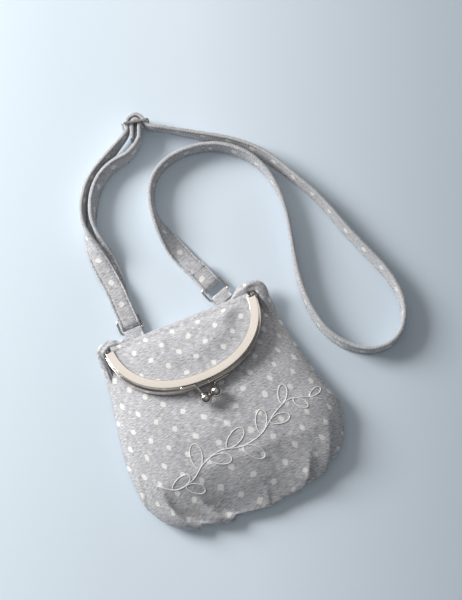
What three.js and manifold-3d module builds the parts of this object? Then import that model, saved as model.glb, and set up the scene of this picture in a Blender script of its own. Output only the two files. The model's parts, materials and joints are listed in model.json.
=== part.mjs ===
// A small jersey shoulder purse with a kiss-lock frame, lying on its back.
// Millimetres. X runs along the hinge line, Y towards the strap, Z up.
// The origin is on the flat back, and the surface that it lies on is Z = 0.

import * as THREE from "three";
import { mergeVertices } from "three/addons/utils/BufferGeometryUtils.js";
import Module from "manifold-3d";

const wasm = await Module();
wasm.setup();

// Driving dimensions.
const gap = 0.3; // room left between pieces that touch
const jersey = 1.0; // thickness of the outer fabric
const liningCloth = 0.6; // thickness of the lining

const frame = {
  halfWidth: 59.5, // hinge line, centre to outside
  depth: 53, // hinge line to the far edge of the arc
  roundness: 2.15, // exponent of the arc's outline; 2 is an ellipse
  face: 6.5, // width of the channel's flat face
  height: 4.75, // height of one half
  metal: 0.8,
  lowerProud: 1.0, // how far the lower half stands outside the upper one
  hingeY: 73,
  hingeZ: 12.2,
  tilt: 18.5, // degrees that the closed frame rises towards its clasp
  armStart: 3.7, // the channels begin this far from the hinge line
};
const lug = { radius: 3, thickness: 1.2, hole: 1.5, insideLower: 56.6, insideUpper: 58.2 };
const rivet = { radius: 1.2, headRadius: 2.1, inner: 55.8, outer: 60.2, head: 0.5 };
const paperCord = { radius: 1.0, fromEdge: 2.3, steps: 28 };
const clasp = { ballRadius: 4.15, armRadius: 0.95, plateLow: 0.9, plateHigh: 4.1, plate: 0.8 };
// Each half's plate, from one X of the flap to another, the arm's route and the ball.
const claspSides = {
  upper: {
    side: 1,
    plateFrom: 18,
    plateTo: 7.2,
    arm: [[6.6, 54.8, 3], [5.6, 57.6, 2.2]],
    ball: [3.4, 64.4, -1.2],
  },
  lower: {
    side: -1,
    plateFrom: -19,
    plateTo: -7.2,
    arm: [[-6.6, 55.6, -2.8], [-6.2, 57, -2.2]],
    ball: [-5.2, 62.5, -0.6],
  },
};

const pouch = {
  seam: 8, // height of the side seams where the pouch is full
  seamAtTop: 2.8,
  centreX: 6,
  centreY: 4,
  crease: 71.2, // the front ends here, at the hinge line
  fullBelow: 12, // the pouch is full below this Y and flat above the next
  flatAbove: 74,
  domeEdge: 3.4, // exponents of the front's dome: how steep its edge is
  domeTop: 0.62, // and how flat its top
  curlFrom: 0.8, // the back curls up to the seam from this share of the way out
  curl: 2.2,
  liningGap: 0.8,
};
const outline = [
  [0, -76], [14, -76.5], [30, -74], [48, -71.5], [63, -65], [76, -56], [85, -40], [88, -24],
  [83, -6], [77, 16], [73, 38], [70, 58], [66, 73], [57, 79.5], [45, 78], [28, 75.6],
  [2, 74.2], [-24, 75.4], [-42, 76.6], [-54, 78.5], [-63, 74], [-66, 56], [-69, 34],
  [-73, 10], [-74.5, -12], [-72, -34], [-66, -52], [-53, -64], [-36, -71], [-18, -74],
];
// Height of the filled front along the middle, from the crease down to the gathers.
const frontHeight = [[78, 5.6], [70, 6.6], [50, 12.8], [26, 20.4], [10, 24.2],
  [-12, 26], [-36, 25.4], [-56, 20.5], [-70, 14], [-80, 10]];

// The cloth folded round the hinge line, an arc of an ellipse from one angle to another.
const band = {
  halfLength: 51, y: 72, z: 9.8, deepY: 3.9, deepZ: 6, from: -58, to: 58, flare: 4.5, flareAt: 55,
};
// The cloth sheets held by the channels, as distances out of the hinge plane.
const sheets = {
  reach: 0.985, // share of the arc's width
  near: 3.4, // they begin this far from the hinge line
  swellNear: 14,
  swellFrom: 0.5,
  swellTo: 0.92,
};
const tab = { width: 13.4, reach: 5, cloth: 1.3 };
const ring = { innerWidth: 15.6, innerLength: 9.5, wire: 0.9, corner: 2.2 };
const rings = {
  left: {
    x: -34.2, y: 82.2, z: 4.4, turn: 2, strapTurn: { upperLeg: 16, lowerLeg: 16, slack: 2.6 },
  },
  right: {
    x: 36.2, y: 83.4, z: 4.4, turn: 20, strapTurn: { upperLeg: 16, lowerLeg: 19 },
  },
};
const strap = { width: 14.6, thickness: 3, floor: 0.3, edge: 0.6 };
const adjuster = {
  x: 25.7,
  y: 228.6,
  z: 10,
  turn: -11.5,
  width: 21.5,
  height: 19.4,
  wire: 0.9,
  corner: 1.9,
  loopTurn: 171, // turns the sewn end's legs back towards the pouch
  loopLeg: 13,
};

const finishes = {
  jersey: { color: 0xb4b6b9, roughness: 0.95, metalness: 0 },
  lining: { color: 0xcfd0d2, roughness: 0.9, metalness: 0 },
  nickel: { color: 0xd2cdc6, roughness: 0.22, metalness: 1 },
  paper: { color: 0xc9b99a, roughness: 1, metalness: 0 },
};

const purse = new THREE.Group();
const flap = new THREE.Group(); // X along the hinge line, Y towards the clasp, Z out of the face
const tilt = THREE.MathUtils.degToRad(frame.tilt);
flap.matrixAutoUpdate = false;
flap.matrix.makeBasis(
  new THREE.Vector3(-1, 0, 0),
  new THREE.Vector3(0, -Math.cos(tilt), Math.sin(tilt)),
  new THREE.Vector3(0, Math.sin(tilt), Math.cos(tilt)),
).setPosition(0, frame.hingeY, frame.hingeZ);
purse.add(flap);

function addPiece(parent, name, geometry, finish) {
  const material = new THREE.MeshStandardMaterial(finishes[finish]);
  const mesh = new THREE.Mesh(geometry, material);
  mesh.name = name;
  parent.add(mesh);
  return mesh;
}

function welded(geometry) {
  const bare = geometry.clone();
  bare.deleteAttribute("normal");
  bare.deleteAttribute("uv");
  return mergeVertices(bare, 1e-4);
}

function toSolid(geometry) {
  const bare = welded(geometry);
  return new wasm.Manifold(new wasm.Mesh({
    numProp: 3,
    vertProperties: new Float32Array(bare.attributes.position.array),
    triVerts: new Uint32Array(bare.index.array),
  }));
}

function toGeometry(solid) {
  const mesh = solid.getMesh();
  const geometry = new THREE.BufferGeometry();
  geometry.setAttribute("position", new THREE.BufferAttribute(mesh.vertProperties, 3));
  geometry.setIndex(new THREE.BufferAttribute(mesh.triVerts, 1));
  geometry.computeVertexNormals();
  return geometry;
}

// Moves every vertex to where place(x, y, z) says.
function reshape(geometry, place) {
  const bare = welded(geometry);
  const position = bare.attributes.position;
  for (let i = 0; i < position.count; i += 1) {
    position.setXYZ(i, ...place(position.getX(i), position.getY(i), position.getZ(i)));
  }
  bare.computeVertexNormals();
  return bare;
}

function turnInsideOut(geometry) {
  const index = geometry.index;
  for (let i = 0; i < index.count; i += 3) {
    const first = index.getX(i);
    index.setX(i, index.getX(i + 1));
    index.setX(i + 1, first);
  }
  return geometry;
}

// The frame's arc, in the flap's own X and Y

// A point on the arc's outline, drawn in by inset; turn runs from 0 to 180 degrees.
function arcPoint(turn, inset, proud = 0) {
  const across = frame.halfWidth + proud;
  const deep = frame.depth + proud;
  const power = 2 / frame.roundness;
  const at = (angle) => new THREE.Vector2(
    across * Math.sign(Math.cos(angle)) * Math.abs(Math.cos(angle)) ** power,
    deep * Math.abs(Math.sin(angle)) ** power,
  );
  const angle = THREE.MathUtils.degToRad(turn);
  const along = at(angle + 0.01).sub(at(angle - 0.01)).normalize();
  const inward = new THREE.Vector2(-along.y, along.x);
  return at(angle).addScaledVector(inward, inset);
}

// The outline's turn at which the inset arc is this far from the hinge line.
function turnAtReach(reach, inset, proud) {
  const step = 0.1;
  let turn = 7 * step;
  while (arcPoint(turn, inset, proud).y < reach) turn += step;
  return turn;
}

// Bends a straight extrusion round the arc: its x is the inset and its y the height.
function bendRoundArc(section, steps, startReach, proud) {
  const start = turnAtReach(startReach, frame.face / 2, proud);
  const straight = new THREE.ExtrudeGeometry(section, { depth: 1, steps, bevelEnabled: false });
  return reshape(straight, (inset, height, share) => {
    const turn = THREE.MathUtils.lerp(start, 180 - start, share);
    const point = arcPoint(turn, inset, proud);
    return [point.x, point.y, height];
  });
}

function channelSection(side) {
  const low = 0.15;
  const high = frame.height;
  const wall = frame.metal;
  const corners = [
    [0, low], [frame.face, low], [frame.face, low + wall], [wall, low + wall],
    [wall, high - wall], [frame.face, high - wall], [frame.face, high], [0.5, high],
    [0, high - 0.5],
  ];
  return new THREE.Shape(corners.map(([inset, height]) => new THREE.Vector2(inset, side * height)));
}

// A hinge lug: an eye round the rivet and a neck that runs into the channel's end.
function lugGeometry(side, inside) {
  const shape = new THREE.Shape();
  const neck = frame.armStart + 1.2;
  const low = side * 0.15;
  const high = side * (frame.height - 0.1);
  shape.moveTo(neck, low);
  shape.lineTo(neck, high);
  shape.lineTo(0.6, high);
  shape.absarc(0, 0, lug.radius, side * 1.4, side * (2 * Math.PI), side < 0);
  shape.lineTo(neck, low);
  const eye = new THREE.Path();
  eye.absarc(0, 0, lug.hole, 0, 2 * Math.PI, false);
  shape.holes.push(eye);
  const plate = new THREE.ExtrudeGeometry(shape, {
    depth: lug.thickness, bevelEnabled: false, curveSegments: 16,
  });
  // The section's x becomes the flap's Y, its y the flap's Z, and the depth runs along X.
  return reshape(plate, (y, z, x) => [inside + x, y, z]);
}

function frameHalf(side) {
  const proud = side > 0 ? 0 : frame.lowerProud;
  const inside = side > 0 ? lug.insideUpper : lug.insideLower;
  let half = toSolid(bendRoundArc(channelSection(side), 34, frame.armStart, proud));
  const plate = lugGeometry(side, inside);
  const mirrored = turnInsideOut(reshape(plate, (x, y, z) => [-x, y, z]));
  half = half.add(toSolid(plate)).add(toSolid(mirrored));
  return toGeometry(half);
}

class ArcCurve extends THREE.Curve {
  constructor(height, proud) {
    super();
    this.height = height;
    this.proud = proud;
    this.start = turnAtReach(frame.armStart + 2, paperCord.fromEdge, proud);
  }

  getPoint(share, target = new THREE.Vector3()) {
    const turn = THREE.MathUtils.lerp(this.start, 180 - this.start, share);
    const point = arcPoint(turn, paperCord.fromEdge, this.proud);
    return target.set(point.x, point.y, this.height);
  }
}

// A strip that lies along the outside of one half's wall, between two X of the flap.
function claspPlate(side, from, to) {
  const proud = side > 0 ? 0 : frame.lowerProud;
  const turnAt = (x) => {
    let turn = 45;
    while (arcPoint(turn, 0, proud).x > x) turn += 0.1;
    return turn;
  };
  const outside = -(gap + clasp.plate);
  const section = new THREE.Shape([
    [outside, clasp.plateLow], [-gap, clasp.plateLow], [-gap, clasp.plateHigh],
    [outside, clasp.plateHigh],
  ].map(([inset, height]) => new THREE.Vector2(inset, side * height)));
  const first = turnAt(Math.max(from, to));
  const last = turnAt(Math.min(from, to));
  const straight = new THREE.ExtrudeGeometry(section, { depth: 1, steps: 6, bevelEnabled: false });
  return reshape(straight, (inset, height, share) => {
    const point = arcPoint(THREE.MathUtils.lerp(first, last, share), inset, proud);
    return [point.x, point.y, height];
  });
}

function roundSection(radius, sides) {
  const corners = [];
  for (let i = 0; i < sides; i += 1) {
    const angle = (i / sides) * 2 * Math.PI;
    corners.push(new THREE.Vector2(radius * Math.cos(angle), radius * Math.sin(angle)));
  }
  return new THREE.Shape(corners);
}

function tube(curve, radius, sides, steps) {
  return new THREE.ExtrudeGeometry(roundSection(radius, sides), {
    steps, extrudePath: curve, bevelEnabled: false,
  });
}

// A sheet of cloth inside the arc. It reaches into the channel and swells by rise
// between the channel and the hinge line.
function arcSheet({ low, thickness, rise, proud, across, along }) {
  const inset = paperCord.fromEdge + paperCord.radius + gap;
  const { near, swellFrom, swellTo, swellNear } = sheets;
  const wide = frame.halfWidth + proud - inset;
  const deep = frame.depth + proud - inset;
  const power = frame.roundness;
  const block = new THREE.BoxGeometry(2, 1, 1, across, along, 1);
  return reshape(block, (x, y, z) => {
    const share = sheets.reach * Math.sin((x * Math.PI) / 2);
    const far = deep * (1 - Math.abs(share) ** power) ** (1 / power);
    const down = near + (far - near) * (y + 0.5);
    const outwards = (Math.abs(share) ** power + (down / deep) ** power) ** (1 / power);
    const held = smoothStep(swellFrom, swellTo, outwards);
    const swell = rise * (1 - held) * smoothStep(near, swellNear, down);
    return [share * wide, down, low + swell + (z + 0.5) * thickness];
  });
}

// The pouch

const edge = new THREE.CatmullRomCurve3(
  outline.map(([x, y]) => new THREE.Vector3(x, y, 0)), true,
);

function smoothStep(from, to, value) {
  return THREE.MathUtils.smoothstep(value, from, to);
}

// 1 where the sides are full, falling to 0 at the top edge, which lies flat.
function fullness(y) {
  return 1 - smoothStep(pouch.fullBelow, pouch.flatAbove, y);
}

function seamHeight(y) {
  return THREE.MathUtils.lerp(pouch.seamAtTop, pouch.seam, fullness(y));
}

function heightAlong(table, y) {
  const row = table.findIndex(([at]) => at <= y);
  if (row <= 0) return row < 0 ? table[table.length - 1][1] : table[0][1];
  const [upperY, upper] = table[row - 1];
  const [lowerY, lower] = table[row];
  return THREE.MathUtils.lerp(lower, upper, (y - lowerY) / (upperY - lowerY));
}

// A shell drawn over the outline. Its profile is a closed loop of [share of the
// way out, layer], where layer 0 is the outside and 1 the inside.
function outlineShell(shrink, thickness, height) {
  const rows = 8;
  const segments = 36;
  const profile = [];
  for (let i = 0; i <= rows; i += 1) {
    profile.push(new THREE.Vector2(Math.sin((i / rows) * (Math.PI / 2)), 1));
  }
  for (let i = rows; i >= 0; i -= 1) {
    profile.push(new THREE.Vector2(Math.sin((i / rows) * (Math.PI / 2)), 0));
  }
  profile[0].x = 0;
  profile[profile.length - 1].x = 0;
  const lathe = new THREE.LatheGeometry(profile, segments);
  return reshape(lathe, (x, y, z) => {
    const share = Math.min(Math.hypot(x, z), 1);
    const turn = (Math.atan2(z, x) / (2 * Math.PI) + 1) % 1;
    const layer = y < 0.5 ? thickness : 0;
    const rim = edge.getPoint(turn);
    const along = edge.getTangent(turn);
    const inward = new THREE.Vector3(-along.y, along.x, 0);
    const drawnIn = rim.clone().addScaledVector(inward, shrink + layer);
    const outerY = THREE.MathUtils.lerp(pouch.centreY, rim.y, share);
    return [
      THREE.MathUtils.lerp(pouch.centreX, drawnIn.x, share),
      THREE.MathUtils.lerp(pouch.centreY, drawnIn.y, share),
      height(outerY, share, layer),
    ];
  });
}

function frontShell(inset, thickness) {
  const height = (y, share, layer) => {
    const seam = seamHeight(y);
    const top = heightAlong(frontHeight, y) - inset - layer;
    const dome = (1 - share ** pouch.domeEdge) ** pouch.domeTop;
    return seam + gap / 2 + (top - seam) * dome;
  };
  const shell = outlineShell(inset, thickness, height);
  const cutter = new THREE.BoxGeometry(300, 100, 100);
  cutter.translate(0, pouch.crease + 50, 0);
  return toGeometry(toSolid(shell).subtract(toSolid(cutter)));
}

function backShell(inset, thickness) {
  const height = (y, share, layer) => {
    const outwards = Math.max(0, (share - pouch.curlFrom) / (1 - pouch.curlFrom));
    const curl = fullness(y) * outwards ** pouch.curl;
    return THREE.MathUtils.lerp(inset + layer, seamHeight(y) - gap / 2, curl);
  };
  return turnInsideOut(outlineShell(inset, thickness, height));
}

function foldBand() {
  const shape = new THREE.Shape();
  const from = THREE.MathUtils.degToRad(band.from);
  const to = THREE.MathUtils.degToRad(band.to);
  shape.absellipse(0, 0, band.deepY, band.deepZ, from, to, false, 0);
  shape.absellipse(0, 0, band.deepY - jersey, band.deepZ - jersey, to, from, true, 0);
  shape.closePath();
  const strip = new THREE.ExtrudeGeometry(shape, {
    depth: 2 * band.halfLength, steps: 10, bevelEnabled: false, curveSegments: 6,
  });
  return reshape(strip, (y, z, x) => {
    const along = x - band.halfLength;
    const outwards = band.flare * (Math.abs(along) / band.flareAt) ** 4;
    return [along, band.y + y + outwards * smoothStep(-6, 4, z), band.z + z];
  });
}

// Rings, tabs and strap

function roundedRectangle(width, height, corner) {
  const x = width / 2;
  const y = height / 2;
  const path = new THREE.CurvePath();
  const line = (x1, y1, x2, y2) => path.add(new THREE.LineCurve3(
    new THREE.Vector3(x1, y1, 0), new THREE.Vector3(x2, y2, 0),
  ));
  const bend = (x1, y1, cx, cy, x2, y2) => path.add(new THREE.QuadraticBezierCurve3(
    new THREE.Vector3(x1, y1, 0), new THREE.Vector3(cx, cy, 0), new THREE.Vector3(x2, y2, 0),
  ));
  line(0, -y, x - corner, -y);
  bend(x - corner, -y, x, -y, x, -y + corner);
  line(x, -y + corner, x, y - corner);
  bend(x, y - corner, x, y, x - corner, y);
  line(x - corner, y, -x + corner, y);
  bend(-x + corner, y, -x, y, -x, y - corner);
  line(-x, y - corner, -x, -y + corner);
  bend(-x, -y + corner, -x, -y, -x + corner, -y);
  line(-x + corner, -y, 0, -y);
  return path;
}

// A closed wire loop: the section is swept round the path and its ends are welded.
function wireLoop(width, height, corner, wire, sides) {
  const path = roundedRectangle(width, height, corner);
  const stops = [];
  path.curves.forEach((curve) => {
    const bends = curve.isQuadraticBezierCurve3 ? 4 : 1;
    for (let i = 0; i < bends; i += 1) stops.push(curve.getPoint(i / bends));
  });
  const torus = new THREE.TorusGeometry(2, 1, sides, stops.length);
  return reshape(torus, (x, y, z) => {
    const turn = (Math.atan2(y, x) / (2 * Math.PI) + 1) % 1;
    const at = Math.round(turn * stops.length) % stops.length;
    const here = stops[at];
    const before = stops[(at + stops.length - 1) % stops.length];
    const after = stops[(at + 1) % stops.length];
    const into = here.clone().sub(before).normalize();
    const out = after.clone().sub(here).normalize();
    const along = into.clone().add(out).normalize();
    const outwards = new THREE.Vector3(along.y, -along.x, 0);
    const mitre = 1 / Math.max(outwards.dot(new THREE.Vector3(into.y, -into.x, 0)), 0.5);
    const radial = (Math.hypot(x, y) - 2) * wire * mitre;
    return [here.x + outwards.x * radial, here.y + outwards.y * radial, z * wire];
  });
}

function placed(piece, { x, y, z, turn = 0 }) {
  piece.position.set(x, y, z);
  piece.rotation.z = THREE.MathUtils.degToRad(turn);
  return piece;
}

// A strip folded back round a bar that runs along X, with its legs towards +Y. The fold
// hangs past the bar by slack.
function hairpin({ width, thickness, barRadius, upperLeg, lowerLeg, slack = 0 }) {
  const inner = barRadius + gap;
  const outer = inner + thickness;
  const shape = new THREE.Shape();
  shape.moveTo(upperLeg, outer);
  shape.absarc(-slack, 0, outer, Math.PI / 2, (3 * Math.PI) / 2, false);
  shape.lineTo(lowerLeg, -outer);
  shape.lineTo(lowerLeg, -inner);
  shape.absarc(-slack, 0, inner, (3 * Math.PI) / 2, Math.PI / 2, true);
  shape.lineTo(upperLeg, inner);
  shape.closePath();
  const strip = new THREE.ExtrudeGeometry(shape, {
    depth: width, bevelEnabled: false, curveSegments: 10,
  });
  return reshape(strip, (y, z, x) => [x - width / 2, y, z]);
}

// The strap's route as [x, y, lean, lift]. A lean of 0 stands the strap on its edge, a
// positive one tips its top to the left of the way along, and 90 lays it flat. Lift is
// how far its lower side is above the surface.
const runRoute = [
  [24.9, 112.6, 90, 0], [22.2, 119.6, 90, 0], [19, 128, 78, 0], [16, 138, 52, 0],
  [13.9, 148, 30, 0], [13.2, 158, 14, 0], [14.6, 168, 10, 0], [18.6, 178, 10, 0],
  [26, 187, 9, 0], [38, 193.2, 8, 0], [51, 195, 8, 0], [64, 193.8, 9, 0],
  [77, 189.6, 10, 0], [89, 181.2, 10, 0], [98.4, 170, 8, 0], [104.4, 156, 3, 0],
  [106.8, 140, -3, 0], [106, 123, -6, 0], [102.6, 106, -6, 0], [98.6, 90, -2, 0],
  [95.4, 74, 2, 0], [94, 57, 5, 0], [95.4, 40, 7, 0], [100, 25, 8, 0],
  [108.6, 12.6, 8, 0], [121, 3.4, 6, 0], [135, 0.6, 5, 0], [147.4, 4.8, 3, 0],
  [156, 15, 0, 0], [160, 28.6, -4, 0], [159.4, 43, -8, 0], [155.4, 58, -12, 0],
  [149.4, 74, -12, 0], [142.6, 92, -12, 0], [138, 107, -10, 0], [133.8, 120, -8, 0],
  [127.6, 134, -8, 0], [119.6, 149, -10, 0], [111, 164.4, -15, 0], [101.6, 176.6, -17, 0],
  [90.6, 187, -14, 0], [78, 196.4, -8, 0], [64.6, 205, -4, 0], [51.4, 213, 0, 1],
  [41.6, 218.6, 0, 2.1], [36.4, 221.2, 0, 2.4], [33.5, 223.8, 0, 2.4], [32.3, 227.4, 0, 2.4],
  [31, 231.6, 0, 2.4], [27.6, 234.6, 0, 2.4],
];
const outerRoute = [
  [25.4, 235.2, 0, 2.4], [21.6, 233.5, 0, 2.4], [19.3, 230, 0, 2.4], [17.8, 226, 0, 2.4],
  [14.2, 222.6, -2, 2.4], [6.6, 218.2, -8, 1.8], [-3.4, 212.6, -14, 0.6], [-14, 206.4, -18, 0],
  [-23, 199.2, -20, 0], [-30, 190.6, -18, 0], [-35.4, 181, -14, 0], [-38.6, 170.6, -4, 0],
  [-39.6, 160, 16, 0.6], [-38.8, 148, 50, 1.6], [-37.6, 136, 80, 3.1], [-36.2, 124, 90, 4.1],
  [-35, 111.6, 90, 5.2],
];
const innerRoute = [
  [19.6, 212.4, -6, 1.8], [11.4, 207.8, -14, 0.6], [1, 206, -20, 0], [-9, 202.4, -22, 0],
  [-17.6, 196, -22, 0], [-24, 188, -20, 0], [-28.6, 179, -16, 0], [-31.8, 169.4, -6, 0],
  [-33.2, 159, 14, 0], [-33.4, 148, 48, 0], [-32.6, 136, 80, 0], [-32.6, 124, 90, 0],
  [-34.2, 111.6, 90, 0],
];

function strapGeometry(route, steps) {
  const points = route.map(([x, y, lean, lift]) => {
    const angle = THREE.MathUtils.degToRad(Math.abs(lean));
    const half = (strap.width * Math.cos(angle) + strap.thickness * Math.sin(angle)) / 2;
    return new THREE.Vector3(x, y, strap.floor + lift + half);
  });
  const path = new THREE.CatmullRomCurve3(points);
  const leans = new THREE.CatmullRomCurve3(
    route.map(([, , lean], i) => new THREE.Vector3(i, lean, 0)),
  );
  const section = new THREE.Shape();
  const w = strap.width / 2;
  const t = strap.thickness / 2;
  const { edge: cut } = strap;
  section.moveTo(-w, cut - t);
  [[cut - w, -t], [w - cut, -t], [w, cut - t], [w, t - cut], [w - cut, t], [cut - w, t],
    [-w, t - cut]].forEach(([x, y]) => section.lineTo(x, y));
  section.closePath();
  const straight = new THREE.ExtrudeGeometry(section, { depth: 1, steps, bevelEnabled: false });
  return reshape(straight, (across, through, share) => {
    const here = path.getPoint(share);
    const along = path.getTangent(share).setZ(0).normalize();
    const left = new THREE.Vector3(-along.y, along.x, 0);
    const lean = THREE.MathUtils.degToRad(leans.getPoint(share).y);
    const up = new THREE.Vector3(0, 0, 1);
    const wide = up.clone().multiplyScalar(Math.cos(lean)).addScaledVector(left, Math.sin(lean));
    const thick = left.clone().multiplyScalar(-Math.cos(lean)).addScaledVector(up, Math.sin(lean));
    return here.addScaledVector(wide, across).addScaledVector(thick, through).toArray();
  });
}

// Assembly

addPiece(purse, "back_panel", backShell(0, jersey), "jersey");
addPiece(purse, "front_panel", frontShell(0, jersey), "jersey");
const liningInset = jersey + pouch.liningGap;
addPiece(purse, "lining_back", backShell(liningInset, liningCloth), "lining");
addPiece(purse, "lining_front", frontShell(liningInset, liningCloth), "lining");
addPiece(purse, "fold_band", foldBand(), "jersey");

const upper = { rise: 3.2, proud: 0 };
const lower = { rise: -0.6, proud: frame.lowerProud };
const outerCloth = { thickness: jersey, across: 20, along: 8 };
const innerCloth = { thickness: liningCloth, across: 14, along: 6 };
addPiece(flap, "upper_flap", arcSheet({ ...upper, ...outerCloth, low: 2.6 }), "jersey");
addPiece(flap, "upper_flap_lining", arcSheet({ ...upper, ...innerCloth, low: 1.3 }), "lining");
addPiece(flap, "lower_flap", arcSheet({ ...lower, ...outerCloth, low: -3.6 }), "jersey");
addPiece(flap, "lower_flap_lining", arcSheet({ ...lower, ...innerCloth, low: -1.9 }), "lining");

addPiece(flap, "upper_frame", frameHalf(1), "nickel");
addPiece(flap, "lower_frame", frameHalf(-1), "nickel");
const cordHeight = 0.1 + frame.height / 2;
addPiece(flap, "upper_channel_cord",
  tube(new ArcCurve(cordHeight, 0), paperCord.radius, 8, paperCord.steps), "paper");
addPiece(flap, "lower_channel_cord",
  tube(new ArcCurve(-cordHeight, frame.lowerProud), paperCord.radius, 8, paperCord.steps), "paper");

[-1, 1].forEach((side) => {
  const profile = [
    [0, rivet.inner], [rivet.headRadius, rivet.inner], [rivet.headRadius, rivet.inner + rivet.head],
    [rivet.radius, rivet.inner + rivet.head], [rivet.radius, rivet.outer - rivet.head],
    [rivet.headRadius, rivet.outer - rivet.head], [rivet.headRadius, rivet.outer], [0, rivet.outer],
  ].map(([radius, along]) => new THREE.Vector2(radius, along));
  const pin = addPiece(flap, side < 0 ? "right_rivet" : "left_rivet",
    new THREE.LatheGeometry(profile, 16), "nickel");
  pin.rotation.z = -side * (Math.PI / 2);
});

Object.entries(claspSides).forEach(([name, { side, plateFrom, plateTo, arm, ball }]) => {
  addPiece(flap, `${name}_clasp_plate`, claspPlate(side, plateFrom, plateTo), "nickel");
  const centre = new THREE.Vector3(...ball);
  const route = arm.map((point) => new THREE.Vector3(...point));
  const shortOf = route[1].clone().sub(centre).setLength(clasp.ballRadius + gap).add(centre);
  const curve = new THREE.CatmullRomCurve3([...route, shortOf]);
  addPiece(flap, `${name}_clasp_arm`, tube(curve, clasp.armRadius, 8, 6), "nickel");
  addPiece(flap, `${name}_clasp_ball`, new THREE.SphereGeometry(clasp.ballRadius, 18, 12), "nickel")
    .position.copy(centre);
});

Object.entries(rings).forEach(([name, place]) => {
  const group = placed(new THREE.Group(), place);
  purse.add(group);
  const length = ring.innerLength + 2 * ring.wire;
  const loop = wireLoop(ring.innerWidth + 2 * ring.wire, length, ring.corner, ring.wire, 8);
  addPiece(group, `${name}_ring`, loop, "nickel").position.y = length / 2;
  const root = tab.reach;
  const cloth = hairpin({
    width: tab.width, thickness: tab.cloth, barRadius: ring.wire, upperLeg: root, lowerLeg: root,
  });
  addPiece(group, `${name}_tab`, cloth, "jersey").rotation.z = Math.PI;
  const turn = hairpin({
    width: strap.width, thickness: strap.thickness, barRadius: ring.wire, ...place.strapTurn,
  });
  addPiece(group, `${name}_strap_turn`, turn, "jersey").position.y = length;
});

addPiece(purse, "strap_run", strapGeometry(runRoute, 78), "jersey");
addPiece(purse, "strap_outer", strapGeometry(outerRoute, 30), "jersey");
addPiece(purse, "strap_inner", strapGeometry(innerRoute, 22), "jersey");

const slide = placed(new THREE.Group(), adjuster);
purse.add(slide);
const slideWidth = adjuster.width - 2 * adjuster.wire;
const slideHeight = adjuster.height - 2 * adjuster.wire;
addPiece(slide, "adjuster_frame",
  wireLoop(slideWidth, slideHeight, adjuster.corner, adjuster.wire, 8), "nickel")
  .rotation.x = Math.PI / 2;
const barLength = slideHeight - 2 * adjuster.wire - 2 * gap;
addPiece(slide, "adjuster_bar",
  new THREE.CylinderGeometry(adjuster.wire, adjuster.wire, barLength, 12), "nickel")
  .rotation.x = Math.PI / 2;
const loopHolder = new THREE.Group();
loopHolder.rotation.z = THREE.MathUtils.degToRad(adjuster.loopTurn);
slide.add(loopHolder);
const sewnEnd = hairpin({
  width: strap.width,
  thickness: strap.thickness,
  barRadius: adjuster.wire,
  upperLeg: adjuster.loopLeg,
  lowerLeg: adjuster.loopLeg,
});
addPiece(loopHolder, "adjuster_loop", sewnEnd, "jersey").rotation.y = Math.PI / 2;

export default purse;
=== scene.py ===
import json
import math

import bmesh
import bpy
from mathutils import Matrix, Vector, noise
from mathutils.bvhtree import BVHTree


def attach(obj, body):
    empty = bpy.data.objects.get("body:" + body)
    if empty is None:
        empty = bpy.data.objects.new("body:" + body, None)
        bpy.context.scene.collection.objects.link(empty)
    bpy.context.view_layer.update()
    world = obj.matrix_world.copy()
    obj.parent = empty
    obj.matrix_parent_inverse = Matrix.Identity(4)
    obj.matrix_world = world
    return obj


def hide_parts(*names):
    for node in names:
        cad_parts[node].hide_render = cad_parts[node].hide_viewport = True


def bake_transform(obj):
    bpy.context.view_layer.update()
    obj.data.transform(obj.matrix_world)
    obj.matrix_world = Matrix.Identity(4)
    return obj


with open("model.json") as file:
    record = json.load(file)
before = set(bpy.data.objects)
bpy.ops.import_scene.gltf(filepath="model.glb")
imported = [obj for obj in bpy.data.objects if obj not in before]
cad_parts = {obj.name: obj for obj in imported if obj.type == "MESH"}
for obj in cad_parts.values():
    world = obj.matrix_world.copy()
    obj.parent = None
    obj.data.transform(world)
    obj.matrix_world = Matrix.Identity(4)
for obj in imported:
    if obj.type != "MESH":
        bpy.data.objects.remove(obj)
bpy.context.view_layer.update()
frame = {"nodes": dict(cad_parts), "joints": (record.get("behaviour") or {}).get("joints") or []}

mm = 0.001  # the script works in millimetres, and newPiece turns them into metres

joints = {joint["name"]: joint for joint in frame["joints"]}
hinge = Vector(joints["flap_fold"]["pos_m"]) / mm
faceUp = -Vector(joints["upper_catch_flex"]["axis"]).normalized()
flapX = Vector((-1, 0, 0))
flapY = faceUp.cross(flapX)
flapPlace = Matrix((flapX, flapY, faceUp)).transposed().to_4x4()
flapPlace.translation = hinge


def smoothStep(low, high, value):
    t = min(max((value - low) / (high - low), 0), 1)
    return t * t * (3 - 2 * t)


def mix(a, b, share):
    return a + (b - a) * share


def catmullRom(points, share, closed=False):
    count = len(points)
    place = share * (count if closed else count - 1)
    i = int(place) if closed else min(int(place), count - 2)
    t = place - i

    def at(k):
        return points[k % count] if closed else points[min(max(k, 0), count - 1)]
    p0, p1, p2, p3 = at(i - 1), at(i), at(i + 1), at(i + 2)
    return 0.5 * (2 * p1 + (p2 - p0) * t + (2 * p0 - 5 * p1 + 4 * p2 - p3) * t ** 2
                  + (3 * p1 - p0 - 3 * p2 + p3) * t ** 3)


# Camera, almost straight above, a little to the left of the flap's clasp

cameraPlan = {"target": (0.0427, 0.0775, 0), "azimuth": -22, "elevation": 79, "distance": 1.3, "lens": 104}


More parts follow.
